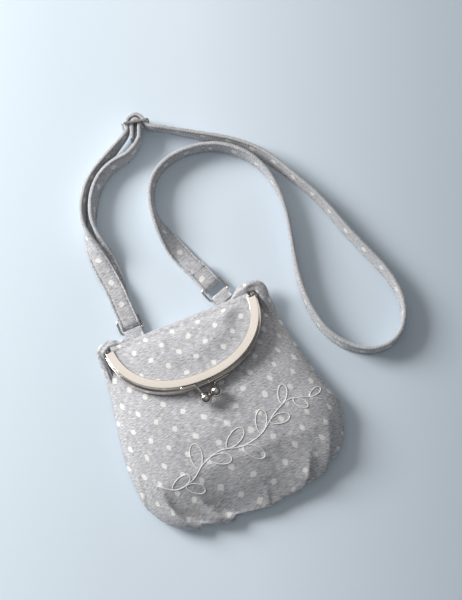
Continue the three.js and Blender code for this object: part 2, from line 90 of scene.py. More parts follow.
def addCamera(plan):
    azimuth, elevation = math.radians(plan["azimuth"]), math.radians(plan["elevation"])
    flat = math.cos(elevation)
    back = Vector((math.sin(azimuth) * flat, -math.cos(azimuth) * flat, math.sin(elevation)))
    camera = bpy.data.objects.new("camera", bpy.data.cameras.new("camera"))
    camera.data.lens = plan["lens"]
    camera.data.sensor_width = 36
    camera.rotation_mode = "QUATERNION"
    camera.rotation_quaternion = back.to_track_quat("Z", "Y")
    camera.location = Vector(plan["target"]) + back * plan["distance"]
    bpy.context.scene.collection.objects.link(camera)
    bpy.context.scene.camera = camera


addCamera(cameraPlan)
print("camera")


# Materials

def srgb(hexColor):
    channels = [int(hexColor[i:i + 2], 16) / 255 for i in (1, 3, 5)]
    return (*[c / 12.92 if c <= 0.04045 else ((c + 0.055) / 1.055) ** 2.4 for c in channels], 1)


def addNode(tree, kind, inputs=None, **settings):
    node = tree.nodes.new(kind)
    for name, value in settings.items():
        setattr(node, name, value)
    for socket, value in (inputs or {}).items():
        if isinstance(value, bpy.types.NodeSocket):
            tree.links.new(value, node.inputs[socket])
        else:
            node.inputs[socket].default_value = value
    return node


def newMaterial(name, **values):
    material = bpy.data.materials.new(name)
    material.use_nodes = True
    shader = material.node_tree.nodes["Principled BSDF"]
    for socket, value in values.items():
        shader.inputs[socket.replace("_", " ")].default_value = value
    return material, material.node_tree, shader


def colorSteps(tree, factor, *steps):
    ramp = addNode(tree, "ShaderNodeValToRGB", {0: factor})
    while len(ramp.color_ramp.elements) < len(steps):
        ramp.color_ramp.elements.new(0.5)
    for element, (place, color) in zip(ramp.color_ramp.elements, steps):
        element.position = place
        element.color = srgb(color)
    return ramp.outputs["Color"]


# Dots stand on a slanting lattice; dotStepA and dotStepB go from one dot to its neighbours, in mm.
jerseyPlan = {
    "dotStepA": (11.2, -9.6), "dotStepB": (11.2, 9.6), "dotHalf": 2.0, "dotEdge": 0.28, "dotTurn": 24,
    "streakLength": 4.2, "streakWidth": 0.5, "wale": 0.9,
    "dark": "#808187", "mid": "#BEBFC3", "light": "#E9E9EC", "dot": "#FBFAF8",
}


def jerseyMaterial(plan):
    # Melange cotton jersey, circular knitted and screen printed: matte, heathered grey in
    # fine streaks across the wales, with slightly ragged off-white dots.
    material, tree, shader = newMaterial(
        "melange_cotton_jersey", Roughness=0.92, Sheen_Weight=0.38, Sheen_Roughness=0.35,
        Specular_IOR_Level=0.25)
    cloth = addNode(tree, "ShaderNodeAttribute", attribute_name="cloth").outputs["Vector"]
    drift = addNode(tree, "ShaderNodeTexNoise", {"Vector": cloth, "Scale": 0.11, "Detail": 0})
    moved = addNode(tree, "ShaderNodeVectorMath", {
        0: drift.outputs["Color"], 1: (2.4, 2.4, 0), 2: cloth}, operation="MULTIPLY_ADD").outputs[0]
    moved = addNode(tree, "ShaderNodeVectorMath", {0: moved, 1: (-1.2, -1.2, 0)}, operation="ADD").outputs[0]
    (ax, ay), (bx, by) = plan["dotStepA"], plan["dotStepB"]
    area = ax * by - ay * bx
    offset = None
    for inverse, step in (((by / area, -bx / area, 0), (ax, ay, 0)), ((-ay / area, ax / area, 0), (bx, by, 0))):
        steps = addNode(tree, "ShaderNodeVectorMath", {0: moved, 1: inverse}, operation="DOT_PRODUCT")
        part = addNode(tree, "ShaderNodeMath", {0: steps.outputs["Value"], 1: 0.5, 2: -0.5}, operation="WRAP")
        arm = addNode(tree, "ShaderNodeVectorMath", {0: step, "Scale": part.outputs[0]}, operation="SCALE")
        offset = arm.outputs[0] if offset is None else addNode(
            tree, "ShaderNodeVectorMath", {0: offset, 1: arm.outputs[0]}, operation="ADD").outputs[0]
    ragged = addNode(tree, "ShaderNodeTexNoise", {"Vector": cloth, "Scale": 0.55, "Detail": 2})
    offset = addNode(tree, "ShaderNodeVectorMath", {
        0: ragged.outputs["Color"], 1: (1.1, 1.1, 0), 2: offset}, operation="MULTIPLY_ADD").outputs[0]
    offset = addNode(tree, "ShaderNodeVectorMath", {0: offset, 1: (-0.55, -0.55, 0)}, operation="ADD").outputs[0]
    turned = addNode(tree, "ShaderNodeVectorRotate", {
        "Vector": offset, "Angle": math.radians(plan["dotTurn"])}, rotation_type="Z_AXIS").outputs[0]
    sides = addNode(tree, "ShaderNodeSeparateXYZ", {0: turned})
    powers = []
    for axis in (0, 1):
        size = addNode(tree, "ShaderNodeMath", {0: sides.outputs[axis]}, operation="ABSOLUTE")
        powers.append(addNode(tree, "ShaderNodeMath", {0: size.outputs[0], 1: 3.0}, operation="POWER").outputs[0])
    total = addNode(tree, "ShaderNodeMath", {0: powers[0], 1: powers[1]}, operation="ADD")
    away = addNode(tree, "ShaderNodeMath", {0: total.outputs[0], 1: 1 / 3}, operation="POWER")
    dots = addNode(tree, "ShaderNodeMapRange", {
        "Value": away.outputs[0], "From Min": plan["dotHalf"] + plan["dotEdge"],
        "From Max": plan["dotHalf"] - plan["dotEdge"], "To Min": 0.0, "To Max": 0.93}).outputs["Result"]

    along = addNode(tree, "ShaderNodeVectorMath", {
        0: cloth, 1: (1 / plan["streakLength"], 1 / plan["streakWidth"], 1)}, operation="MULTIPLY").outputs[0]
    streaks = addNode(tree, "ShaderNodeTexNoise", {
        "Vector": along, "Scale": 1.0, "Detail": 5, "Roughness": 0.68, "Distortion": 0.25}).outputs["Fac"]
    fibres = colorSteps(tree, streaks, (0.33, plan["dark"]), (0.5, plan["mid"]), (0.66, plan["light"]))
    printed = colorSteps(tree, streaks, (0.3, "#DEDEDB"), (0.7, plan["dot"]))
    color = addNode(tree, "ShaderNodeMix", {0: dots, 6: fibres, 7: printed}, data_type="RGBA").outputs[2]
    tree.links.new(color, shader.inputs["Base Color"])

    wales = addNode(tree, "ShaderNodeTexWave", {
        "Vector": cloth, "Scale": 0.314 / plan["wale"], "Distortion": 1.2, "Detail": 2, "Detail Scale": 1.5})
    knit = addNode(tree, "ShaderNodeMath", {0: streaks, 1: 1.4, 2: wales.outputs["Fac"]}, operation="MULTIPLY_ADD")
    bump = addNode(tree, "ShaderNodeBump", {"Height": knit.outputs[0], "Strength": 0.55, "Distance": 0.00012})
    tree.links.new(bump.outputs[0], shader.inputs["Normal"])
    return material


def liningMaterial():
    # Plain cotton lining, woven: smoother and paler than the jersey, with a fine even grain.
    material, tree, shader = newMaterial(
        "plain_woven_lining", Roughness=0.85, Sheen_Weight=0.1, Specular_IOR_Level=0.3)
    place = addNode(tree, "ShaderNodeTexCoord").outputs["Object"]
    grain = addNode(tree, "ShaderNodeTexNoise", {"Vector": place, "Scale": 1400, "Detail": 2}).outputs["Fac"]
    tree.links.new(colorSteps(tree, grain, (0.3, "#B4B6BA"), (0.7, "#D3D4D6")), shader.inputs["Base Color"])
    bump = addNode(tree, "ShaderNodeBump", {"Height": grain, "Strength": 0.4, "Distance": 0.0001})
    tree.links.new(bump.outputs[0], shader.inputs["Normal"])
    return material


def nickelMaterial():
    # Polished nickel plate on stamped steel: warm grey mirror with faint wiping marks.
    material, tree, shader = newMaterial("polished_nickel_plate", Metallic=1.0, Roughness=0.16)
    place = addNode(tree, "ShaderNodeTexCoord").outputs["Object"]
    smears = addNode(tree, "ShaderNodeTexNoise", {"Vector": place, "Scale": 45, "Detail": 1, "Roughness": 0.5})
    fac = smears.outputs["Fac"]
    tree.links.new(colorSteps(tree, fac, (0.35, "#C5C1BC"), (0.65, "#CECAC5")), shader.inputs["Base Color"])
    rough = addNode(tree, "ShaderNodeMapRange", {"Value": fac, "To Min": 0.12, "To Max": 0.22})
    tree.links.new(rough.outputs["Result"], shader.inputs["Roughness"])
    return material


def threadMaterial(name, dark, light):
    # Twisted polyester sewing thread with a soft shine; its colour is spread by noise between a darker and a lighter
    # tone, and the lighter specks are painted shine.
    material, tree, shader = newMaterial(name, Roughness=0.6, Sheen_Weight=0.15)
    place = addNode(tree, "ShaderNodeTexCoord").outputs["Object"]
    paintedShine = addNode(tree, "ShaderNodeTexNoise", {"Vector": place, "Scale": 2200, "Detail": 1}).outputs["Fac"]
    tree.links.new(colorSteps(tree, paintedShine, (0.3, dark), (0.7, light)), shader.inputs["Base Color"])
    return material


def paperMaterial():
    # Twisted kraft paper, the cord that wedges the cloth in the channel: dull tan.
    material, tree, shader = newMaterial("twisted_kraft_paper", Roughness=1.0)
    place = addNode(tree, "ShaderNodeTexCoord").outputs["Object"]
    creases = addNode(tree, "ShaderNodeTexNoise", {"Vector": place, "Scale": 900, "Detail": 3}).outputs["Fac"]
    tree.links.new(colorSteps(tree, creases, (0.3, "#A08A66"), (0.7, "#D2BF9C")), shader.inputs["Base Color"])
    return material


jersey = jerseyMaterial(jerseyPlan)
lining = liningMaterial()
nickel = nickelMaterial()
# The seam thread is drawn darker than the cloth: its dark greys are painted shade of the stitched groove.
seamThread = threadMaterial("seam_thread_painted_groove_shade", "#55575B", "#85878B")
whiteThread = threadMaterial("white_embroidery_thread", "#D9DADB", "#F8F8F6")
kraftPaper = paperMaterial()
print("materials")


# Making pieces

def newPiece(name, bm, materials, place=None, smooth=True):
    bm.transform(Matrix.Scale(mm, 4) @ (place or Matrix.Identity(4)))
    mesh = bpy.data.meshes.new(name)
    bm.to_mesh(mesh)
    bm.free()
    mesh.polygons.foreach_set("use_smooth", [smooth] * len(mesh.polygons))
    for material in materials:
        mesh.materials.append(material)
    piece = bpy.data.objects.new(name, mesh)
    bpy.context.scene.collection.objects.link(piece)
    return piece


def straightBar(outline, steps):
    # A tube of that section, one unit long, in that many steps, open at its ends.
    bm = bmesh.new()
    ring = [bm.verts.new((x, y, 0)) for x, y in outline]
    edges = [bm.edges.new(pair) for pair in zip(ring, ring[1:] + ring[:1])]
    bmesh.ops.spin(bm, geom=ring + edges, cent=(0, 0, 0), axis=(0, 0, 1), dvec=(0, 0, 1 / steps),
                   angle=0, steps=steps)
    return bm


def joinInto(bm, part):
    mesh = bpy.data.meshes.new("part")
    part.to_mesh(mesh)
    part.free()
    bm.from_mesh(mesh)
    bpy.data.meshes.remove(mesh)


def keepFlatsFlat(piece):
    # Large faces keep their own direction, so that only the rolled corners shade round.
    weighted = piece.modifiers.new("flat_faces", "WEIGHTED_NORMAL")
    weighted.weight = 100
    weighted.keep_sharp = True


def closeEnds(bm):
    rims = [edge for edge in bm.edges if edge.is_boundary]
    bmesh.ops.holes_fill(bm, edges=rims, sides=0)
    for edge in rims:
        edge.smooth = False
    bmesh.ops.recalc_face_normals(bm, faces=bm.faces)


def roundOutline(corners, radius, segments=3):
    # The corner points with each corner rounded, by a bevel of a flat face.
    bm = bmesh.new()
    face = bm.faces.new([bm.verts.new((x, y, 0)) for x, y in corners])
    bmesh.ops.bevel(bm, geom=bm.verts[:], offset=radius, offset_type="OFFSET", affect="VERTICES",
                    segments=segments, profile=0.5, material=-1, clamp_overlap=True)
    face = bm.faces[:][0]
    outline = [(loop.vert.co.x, loop.vert.co.y) for loop in face.loops]
    bm.free()
    return outline


def wire(name, points, radius, closed=False, material=None, place=None, sides=3):
    # A round wire along the points, made as a curve with a bevel and turned into a mesh.
    curve = bpy.data.curves.new(name, "CURVE")
    curve.dimensions = "3D"
    curve.bevel_depth = radius
    curve.bevel_resolution = sides
    curve.use_fill_caps = not closed
    spline = curve.splines.new("POLY")
    spline.points.add(len(points) - 1)
    for spot, point in zip(spline.points, points):
        spot.co = (*point, 1)
    spline.use_cyclic_u = closed
    holder = bpy.data.objects.new(name + "_curve", curve)
    bm = bmesh.new()
    bm.from_mesh(bpy.data.meshes.new_from_object(holder))
    bpy.data.objects.remove(holder)
    bpy.data.curves.remove(curve)
    bmesh.ops.remove_doubles(bm, verts=bm.verts, dist=1e-5)
    return newPiece(name, bm, [material], place)


def turned(profile, segments=40):
    # Spins [radius, height] points round Z.
    bm = bmesh.new()
    verts = [bm.verts.new((radius, 0, height)) for radius, height in profile]
    edges = [bm.edges.new(pair) for pair in zip(verts, verts[1:])]
    bmesh.ops.spin(bm, geom=verts + edges, cent=(0, 0, 0), axis=(0, 0, 1), angle=2 * math.pi,
                   steps=segments, use_merge=True)
    bmesh.ops.remove_doubles(bm, verts=bm.verts, dist=1e-4)
    bmesh.ops.recalc_face_normals(bm, faces=bm.faces)
    return bm


# Strap: one long strip, cut into five pieces; only the long run is attached to a body, the pouch. The routes repeat
# the frame's own, in metres: x, y, lean in degrees (0 stands on its edge, 90 lies flat) and lift.

strapPlan = {
    "halfWidth": 7.3, "halfThick": 1.5, "floor": 0.3, "step": 1.25, "stitchEvery": 3.1, "stitchLength": 1.2,
    "stitchAt": 5.35, "lapStitch": 13.0,
}
runRoute = [
    (.0249, .1126, 90, 0), (.0222, .1196, 90, 0), (.0190, .1280, 78, 0), (.0160, .1380, 52, 0),
    (.0139, .1480, 30, 0), (.0132, .1580, 14, 0), (.0146, .1680, 10, 0), (.0186, .1780, 10, 0),
    (.0260, .1870, 9, 0), (.0380, .1932, 8, 0), (.0510, .1950, 8, 0), (.0640, .1938, 9, 0),
    (.0770, .1896, 10, 0), (.0890, .1812, 10, 0), (.0984, .1700, 8, 0), (.1044, .1560, 3, 0),
    (.1068, .1400, -3, 0), (.1060, .1230, -6, 0), (.1026, .1060, -6, 0), (.0986, .0900, -2, 0),
    (.0954, .0740, 2, 0), (.0940, .0570, 5, 0), (.0954, .0400, 7, 0), (.1000, .0250, 8, 0),
    (.1086, .0126, 8, 0), (.1210, .0034, 6, 0), (.1350, .0006, 5, 0), (.1474, .0048, 3, 0),
    (.1560, .0150, 0, 0), (.1600, .0286, -4, 0), (.1594, .0430, -8, 0), (.1554, .0580, -12, 0),
    (.1494, .0740, -12, 0), (.1426, .0920, -12, 0), (.1380, .1070, -10, 0), (.1338, .1200, -8, 0),
    (.1276, .1340, -8, 0), (.1196, .1490, -10, 0), (.1110, .1644, -15, 0), (.1016, .1766, -17, 0),
    (.0906, .1870, -14, 0), (.0780, .1964, -8, 0), (.0646, .2050, -4, 0), (.0514, .2130, 0, .0010),
    (.0416, .2186, 0, .0021), (.0364, .2212, 0, .0024), (.0335, .2238, 0, .0024),
    (.0323, .2274, 0, .0024), (.0310, .2316, 0, .0024), (.0276, .2346, 0, .0024),
]
outerRoute = [
    (.0216, .2335, 0, .0024), (.0193, .2300, 0, .0024), (.0178, .2260, 0, .0024),
    (.0142, .2226, -2, .0024), (.0066, .2182, -8, .0018), (-.0034, .2126, -14, .0006),
    (-.0140, .2064, -18, 0), (-.0230, .1992, -20, 0), (-.0300, .1906, -18, 0), (-.0354, .1810, -14, 0),
    (-.0386, .1706, -4, 0), (-.0396, .1600, 16, .0006), (-.0388, .1480, 50, .0016),
    (-.0376, .1360, 80, .0031), (-.0362, .1240, 90, .0041), (-.0350, .1116, 90, .0052),
]
innerRoute = [
    (.0196, .2124, -6, .0018), (.0114, .2078, -14, .0006), (.0010, .2060, -20, 0),
    (-.0090, .2024, -22, 0), (-.0176, .1960, -22, 0), (-.0240, .1880, -20, 0), (-.0286, .1790, -16, 0),
    (-.0318, .1694, -6, 0), (-.0332, .1590, 14, 0), (-.0334, .1480, 48, 0), (-.0326, .1360, 80, 0),
    (-.0326, .1240, 90, 0), (-.0342, .1116, 90, 0),
]
ringPlan = {
    "innerWidth": 15.6, "innerLength": 9.5, "wire": 0.9, "corner": 2.4, "tabWidth": 13.4, "tabThick": 1.2,
    "tabReach": 6.5,
    "left": {"turn": 2, "topLeg": 16, "lowLeg": 16, "slack": 5.4},
    "right": {"turn": 20, "topLeg": 16, "lowLeg": 19, "slack": 0},
}
slidePlan = {"turn": -11.5, "width": 21.5, "height": 19.4, "wire": 0.9, "corner": 1.9, "endTurn": 159.5, "endLeg": 13}
ringCentre = {side: Vector(joints[side + "_ring_swing"]["pos_m"]) / mm for side in ("left", "right")}
slideCentre = Vector(joints["adjuster_slide"]["pos_m"]) / mm


def routeFrames(route):
    # Every step along a route: where the strap's middle is, its width and its thickness.
    plan = strapPlan
    points = []
    for x, y, lean, lift in route:
        tipped = math.radians(abs(lean))
        half = plan["halfWidth"] * math.cos(tipped) + plan["halfThick"] * math.sin(tipped)
        points.append(Vector((x / mm, y / mm, plan["floor"] + lift / mm + half, lean)))
    rough = sum((b - a).to_3d().length for a, b in zip(points, points[1:]))
    count = round(rough / plan["step"])
    line = [catmullRom(points, i / count) for i in range(count + 1)]
    frames = []
    for i, here in enumerate(line):
        along = (line[min(i + 1, count)] - line[max(i - 1, 0)]).to_2d().normalized()
        left = Vector((-along.y, along.x, 0))
        lean = math.radians(here.w)
        wide = Vector((0, 0, math.cos(lean))) + left * math.sin(lean)
        thick = Vector((0, 0, math.sin(lean))) - left * math.cos(lean)
        frames.append((here.to_3d(), wide, thick))
    return frames


def foldFrames(centre, outward, up, wide, radius, legs, slack, sign):
    # A fold round a bar: along the first leg towards the bar, round it and back.
    # outward points along the legs, up to the first leg's side.
    frames = []
    step = strapPlan["step"]
    for i in range(round((legs[0] + slack) / step), 0, -1):
        frames.append((centre + outward * (i * step - slack) + up * radius, wide, up * sign))
    turns = 10
    for i in range(turns + 1):
        angle = math.pi * i / turns
        radial = up * math.cos(angle) - outward * math.sin(angle)
        frames.append((centre - outward * slack + radial * radius, wide, radial * sign))
    for i in range(1, round((legs[1] + slack) / step) + 1):
        frames.append((centre + outward * (i * step - slack) - up * radius, wide, -up * sign))
    return frames


def ringAxes(side):
    turn = math.radians(ringPlan[side]["turn"])
    return Vector((math.cos(turn), math.sin(turn), 0)), Vector((-math.sin(turn), math.cos(turn), 0))


def strapFold(side):
    across, outward = ringAxes(side)
    plan = ringPlan[side]
    farBar = ringCentre[side] + outward * (ringPlan["innerLength"] + 2 * ringPlan["wire"])
    radius = ringPlan["wire"] + 0.3 + strapPlan["halfThick"]
    wide, sign = (across, 1) if side == "left" else (-across, -1)
    return foldFrames(farBar, outward, Vector((0, 0, 1)), wide, radius,
                      (plan["topLeg"], plan["lowLeg"]), plan["slack"], sign)


def sewnEndFold():
    turn = math.radians(slidePlan["endTurn"])
    legs = Vector((-math.sin(turn), math.cos(turn), 0))
    right = Vector((-legs.y, legs.x, 0))
    radius = slidePlan["wire"] + 0.3 + strapPlan["halfThick"]
    leg = slidePlan["endLeg"]
    return foldFrames(slideCentre, legs, right, Vector((0, 0, 1)), radius, (leg, leg), 0, 1)


def smoothedFrames(frames, passes=3):
    for _ in range(passes):
        new = [frames[0]]
        for before, here, after in zip(frames, frames[1:], frames[2:]):
            place = (before[0] + here[0] * 2 + after[0]) / 4
            wide = (before[1] + here[1] * 2 + after[1]).normalized()
            thick = (before[2] + here[2] * 2 + after[2]).normalized()
            new.append((place, wide, thick))
        frames = [*new, frames[-1]]
    return frames


reversedInner = [(place, wide, -thick) for place, wide, thick in reversed(routeFrames(innerRoute))]
rightEnd = strapFold("right")
wholeRoute = routeFrames(runRoute + outerRoute)
leftEnd = strapFold("left")
sewnEnd = sewnEndFold()
strapFrames = smoothedFrames([*rightEnd, *wholeRoute, *leftEnd, *reversedInner, *sewnEnd])
strapAlong = [0.0]
for before, here in zip(strapFrames, strapFrames[1:]):
    strapAlong.append(strapAlong[-1] + (here[0] - before[0]).length)


def nearestFrame(point, first=0, last=None):
    last = len(strapFrames) if last is None else last
    return min(range(first, last), key=lambda i: (strapFrames[i][0].to_2d() - Vector(point)).length)


routeEnd = len(rightEnd) + len(wholeRoute)
cuts = [
    0,
    nearestFrame((14.2, 166), len(rightEnd), routeEnd),
    nearestFrame((66, 204), routeEnd - 400, routeEnd),
    nearestFrame((-22, 200), routeEnd - 200, routeEnd),
    nearestFrame((-24, 188), routeEnd + len(leftEnd)),
    len(strapFrames) - 1,
]
strapHalf = [
    (0.0, 1.22), (2.4, 1.26), (4.4, 1.22), (4.95, 1.04), (5.35, 0.92), (5.75, 1.04), (6.2, 1.36),
    (6.75, 1.38), (7.15, 0.98), (7.3, 0.35),
]


def strapOutline():
    right = strapHalf + [(x, -y) for x, y in reversed(strapHalf)]
    left = [(-x, y) for x, y in reversed(right[1:-1])]
    return right + left


def strapPiece(name, first, last, dotShift=(0, 0)):
    frames = strapFrames[first:last + 1]
    count = len(frames) - 1
    bm = straightBar(strapOutline(), count)
    cloth = bm.verts.layers.float_vector.new("cloth")
    for vert in bm.verts:
        across, through, i = vert.co.x, vert.co.y, round(vert.co.z * count)
        place, wide, thick = frames[i]
        along = strapAlong[first + i]
        wrinkle = noise.noise(Vector((across * 0.12, along * 0.16, 3))) * 0.28
        puff = 1 + wrinkle * (1 if abs(across) < strapPlan["stitchAt"] else 0.3)
        vert.co = place + wide * across + thick * through * puff
        side = 0 if through > 0 else 31
        vert[cloth] = (across + dotShift[0] + side, along + dotShift[1], 0)
    closeEnds(bm)
    addStitches(bm, frames, first, count)
    piece = newPiece(name, bm, [jersey, seamThread])
    return piece


def addStitches(bm, frames, first, count):
    # Two rows of lockstitch near the edges, on both faces, and one row across each lapped end.
    plan = strapPlan
    spots = []
    start, end = strapAlong[first], strapAlong[first + count]
    i = 0
    for number in range(math.ceil(start / plan["stitchEvery"]), int(end / plan["stitchEvery"])):
        while strapAlong[first + i] < number * plan["stitchEvery"]:
            i += 1
        place, wide, thick = frames[i]
        along = wide.cross(thick)
        for side in (-1, 1):
            for face in (-1, 1):
                spots.append((place + wide * side * plan["stitchAt"] + thick * face * 0.98, along, wide, thick))
    for row in lapRows:
        if not start < row < end:
            continue
        i = next(k for k in range(count) if strapAlong[first + k] >= row)
        place, wide, thick = frames[i]
        along = wide.cross(thick)
        for k in range(-2, 3):
            for face in (-1, 1):
                spots.append((place + wide * k * 2.5 + thick * face * 1.27, wide, along, thick))
    for i in range(0, len(spots), 24):
        batch = bmesh.new()
        for spot, long, short, out in spots[i:i + 24]:
            axes = Matrix((short * 0.24, out * 0.22, long * plan["stitchLength"])).transposed().to_4x4()
            axes.translation = spot
            bmesh.ops.create_uvsphere(batch, u_segments=6, v_segments=4, radius=1, matrix=axes)
        # Stitches take the seam thread, whose dark grey is painted groove shade.
        for face in batch.faces:
            face.material_index = 1
        joinInto(bm, batch)


lapRows = [strapAlong[0] + 3.2, strapAlong[-1] - 3.2]
strapNames = ["strap_right_end", "strap_long_run", "strap_at_adjuster", "strap_left_end", "strap_sewn_end"]
strapNodes = [["right_strap_turn"], ["strap_run"], [], ["left_strap_turn", "strap_outer", "strap_inner"], ["adjuster_loop"]]
strapPieces = {}
for name, nodes, first, last in zip(strapNames, strapNodes, cuts, cuts[1:]):
    piece = strapPiece(name, first, last)
    if nodes:
        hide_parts(*nodes)
    strapPieces[name] = piece
rightFold = ringCentre["right"] * mm
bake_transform(strapPieces["strap_right_end"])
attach(strapPieces["strap_long_run"], "pouch")
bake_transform(strapPieces["strap_at_adjuster"])
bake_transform(strapPieces["strap_left_end"])
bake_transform(strapPieces["strap_sewn_end"])
print("strap", round(strapAlong[-1]), "mm")


# Rings, their tabs and the three-bar slide

def roundedLoop(width, height, corner, each=8):
    points = []
    for k, (sx, sy) in enumerate(((1, 1), (-1, 1), (-1, -1), (1, -1))):
        for i in range(each + 1):
            angle = math.pi / 2 * (k + i / each)
            points.append((sx * (width / 2 - corner) + corner * math.cos(angle),
                           sy * (height / 2 - corner) + corner * math.sin(angle), 0))
    return points


def ringPlace(side):
    turn = math.radians(ringPlan[side]["turn"])
    return Matrix.Translation(ringCentre[side]) @ Matrix.Rotation(turn, 4, "Z")


def addRing(side):
    plan = ringPlan
    long = plan["innerLength"] + 2 * plan["wire"]
    points = roundedLoop(plan["innerWidth"] + 2 * plan["wire"], long, plan["corner"])
    points = [(x, y + long / 2, z) for x, y, z in points]
    ring = wire(side + "_ring_wire", points, plan["wire"], True, nickel, ringPlace(side), sides=4)
    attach(ring, side + "_ring_body")
    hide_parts(side + "_ring")
    return ring


def addTab(side):
    plan = ringPlan
    half = plan["tabThick"] / 2
    outline = roundOutline([(-plan["tabWidth"] / 2, -half), (plan["tabWidth"] / 2, -half),
                            (plan["tabWidth"] / 2, half), (-plan["tabWidth"] / 2, half)], 0.45)
    across, outward = ringAxes(side)
    frames = foldFrames(ringCentre[side], -outward, Vector((0, 0, 1)), across,
                        plan["wire"] + 0.15 + half, (plan["tabReach"], plan["tabReach"]), 0, 1)
    count = len(frames) - 1
    bm = straightBar(outline, count)
    cloth = bm.verts.layers.float_vector.new("cloth")
    for vert in bm.verts:
        x, through, i = vert.co.x, vert.co.y, round(vert.co.z * count)
        place, wide, thick = frames[i]
        vert[cloth] = (x + 4, i * strapPlan["step"] + 8, 0)
        vert.co = place + wide * x + thick * through
    closeEnds(bm)
    tab = newPiece(side + "_tab_loop", bm, [jersey])
    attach(tab, "pouch")
    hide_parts(side + "_tab")
    return tab


for side in ("left", "right"):
    addRing(side)
    addTab(side)

slidePlace = Matrix.Translation(slideCentre) @ Matrix.Rotation(math.radians(slidePlan["turn"]), 4, "Z")
slidePlace = slidePlace @ Matrix.Rotation(math.pi / 2, 4, "X")


def addSlide(plan):
    width, height = plan["width"] - 2 * plan["wire"], plan["height"] - 2 * plan["wire"]
    rim = wire("slide_frame", roundedLoop(width, height, plan["corner"]), plan["wire"], True, nickel,
               slidePlace, sides=4)
    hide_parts("adjuster_frame")
    half = height / 2
    swell = plan["wire"]
    bm = turned([(0, -half - 0.75), (0.9, -half - 0.6), (1.25, -half), (0.95, -half + 1.2), (swell, -half + 1.9),
                 (swell, half - 1.9), (0.95, half - 1.2), (1.25, half), (0.9, half + 0.6), (0, half + 0.75)])
    bm.transform(Matrix.Rotation(math.pi / 2, 4, "X"))
    bar = newPiece("slide_middle_bar", bm, [nickel], slidePlace)
    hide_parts("adjuster_bar")
    for piece in (rim, bar):
        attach(piece, "adjuster")


addSlide(slidePlan)
print("rings and slide")


# The kiss-lock frame, drawn in the flap's own axes: x along the hinge line, y from it to
# the clasp, z out of the face

framePlan = {
    "halfWidth": 59.5, "depth": 53, "roundness": 2.15, "face": 6.5, "height": 4.75, "metal": 0.8,
    "lowerProud": 1.0, "armStart": 3.7, "steps": 150, "lugRadius": 3, "lugThick": 1.2,
}


def arcPoint(turn, inset, proud):
    # A point on the arc, drawn in by inset; turn runs from 0 to 180 degrees.
    power = 2 / framePlan["roundness"]

    def at(angle):
        cosine, sine = math.cos(angle), abs(math.sin(angle))
        return Vector(((framePlan["halfWidth"] + proud) * math.copysign(abs(cosine) ** power, cosine),
                       (framePlan["depth"] + proud) * sine ** power))
    angle = math.radians(turn)
    along = (at(angle + 0.01) - at(angle - 0.01)).normalized()
    return at(angle) + Vector((-along.y, along.x)) * inset


def turnAtReach(reach, inset, proud):
    turn = 0.7
    while arcPoint(turn, inset, proud).y < reach:
        turn += 0.1
    return turn


def arcTurns(count, inset, reach, proud):
    # Evenly spaced along the arc, from one arm's start to the other's.
    start = turnAtReach(reach, inset, proud)
    fine = [mix(start, 180 - start, i / 900) for i in range(901)]
    points = [arcPoint(turn, inset, proud) for turn in fine]
    along = [0.0]
    for a, b in zip(points, points[1:]):
        along.append(along[-1] + (b - a).length)
    turns, k = [], 0
    for i in range(count + 1):
        while k < 900 and along[k] < along[-1] * i / count:
            k += 1
        turns.append(fine[k])
    return turns


def channelOutline(side):
    # The stamped channel, with rolled outer corners.
    low, high, wall, face = 0.15, framePlan["height"], framePlan["metal"], framePlan["face"]
    corners = [(0, low), (face, low), (face, low + wall), (wall, low + wall), (wall, high - wall),
               (face, high - wall), (face, high), (0, high)]
    outline = roundOutline(corners, 0.34, 3)
    return [(x, side * y) for x, y in outline]


def lugBar(bm, side, inside):
    # The eye that turns on the rivet, with a neck into the channel's end.
    for hand in (-1, 1):
        eye = bmesh.new()
        washer = [eye.verts.new((r, 0, h)) for r, h in (
            (1.5, 0.1), (1.6, 0), (2.9, 0), (3.0, 0.1), (3.0, 1.1), (2.9, 1.2), (1.6, 1.2), (1.5, 1.1))]
        edges = [eye.edges.new(pair) for pair in zip(washer, washer[1:] + washer[:1])]
        bmesh.ops.spin(eye, geom=washer + edges, cent=(0, 0, 0), axis=(0, 0, 1), angle=2 * math.pi,
                       steps=36, use_merge=True)
        neck = bmesh.ops.create_cube(eye, size=1, matrix=Matrix.Translation((-side * 2.2, 3.3, 0.6))
                                     @ Matrix.Diagonal((3.0, 3.6, 1.16, 1)))
        bmesh.ops.recalc_face_normals(eye, faces=eye.faces)
        eye.transform(Matrix.Rotation(math.pi / 2, 4, "Y"))
        eye.transform(Matrix.Translation((inside if hand > 0 else -inside - framePlan["lugThick"], 0, 0)))
        joinInto(bm, eye)


def frameHalf(name, side, body, node, inside):
    proud = 0 if side > 0 else framePlan["lowerProud"]
    turns = arcTurns(framePlan["steps"], framePlan["face"] / 2, framePlan["armStart"], proud)
    bm = straightBar(channelOutline(side), framePlan["steps"])
    for vert in bm.verts:
        inset, height, i = vert.co.x, vert.co.y, round(vert.co.z * framePlan["steps"])
        vert.co = (*arcPoint(turns[i], inset, proud), height)
    closeEnds(bm)
    lugBar(bm, side, inside)
    half = newPiece(name, bm, [nickel], flapPlace)
    keepFlatsFlat(half)
    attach(half, body)
    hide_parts(node)


frameHalf("frame_upper_channel", 1, "upper_half", "upper_frame", 58.2)
frameHalf("frame_lower_channel", -1, "lower_half", "lower_frame", 56.6)


def addRivet(side, hand):
    bm = turned([(0, -2.3), (1.2, -2.25), (1.9, -2.0), (2.1, -1.7), (1.2, -1.6), (1.2, 1.6), (2.1, 1.7),
                 (1.9, 2.0), (1.2, 2.25), (0, 2.3)])
    bm.transform(Matrix.Translation((hand * 58, 0, 0)) @ Matrix.Rotation(math.pi / 2, 4, "Y"))
    pin = newPiece(side + "_hinge_rivet", bm, [nickel], flapPlace)
    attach(pin, "lower_half")
    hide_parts(side + "_rivet")


addRivet("left", 1)
addRivet("right", -1)

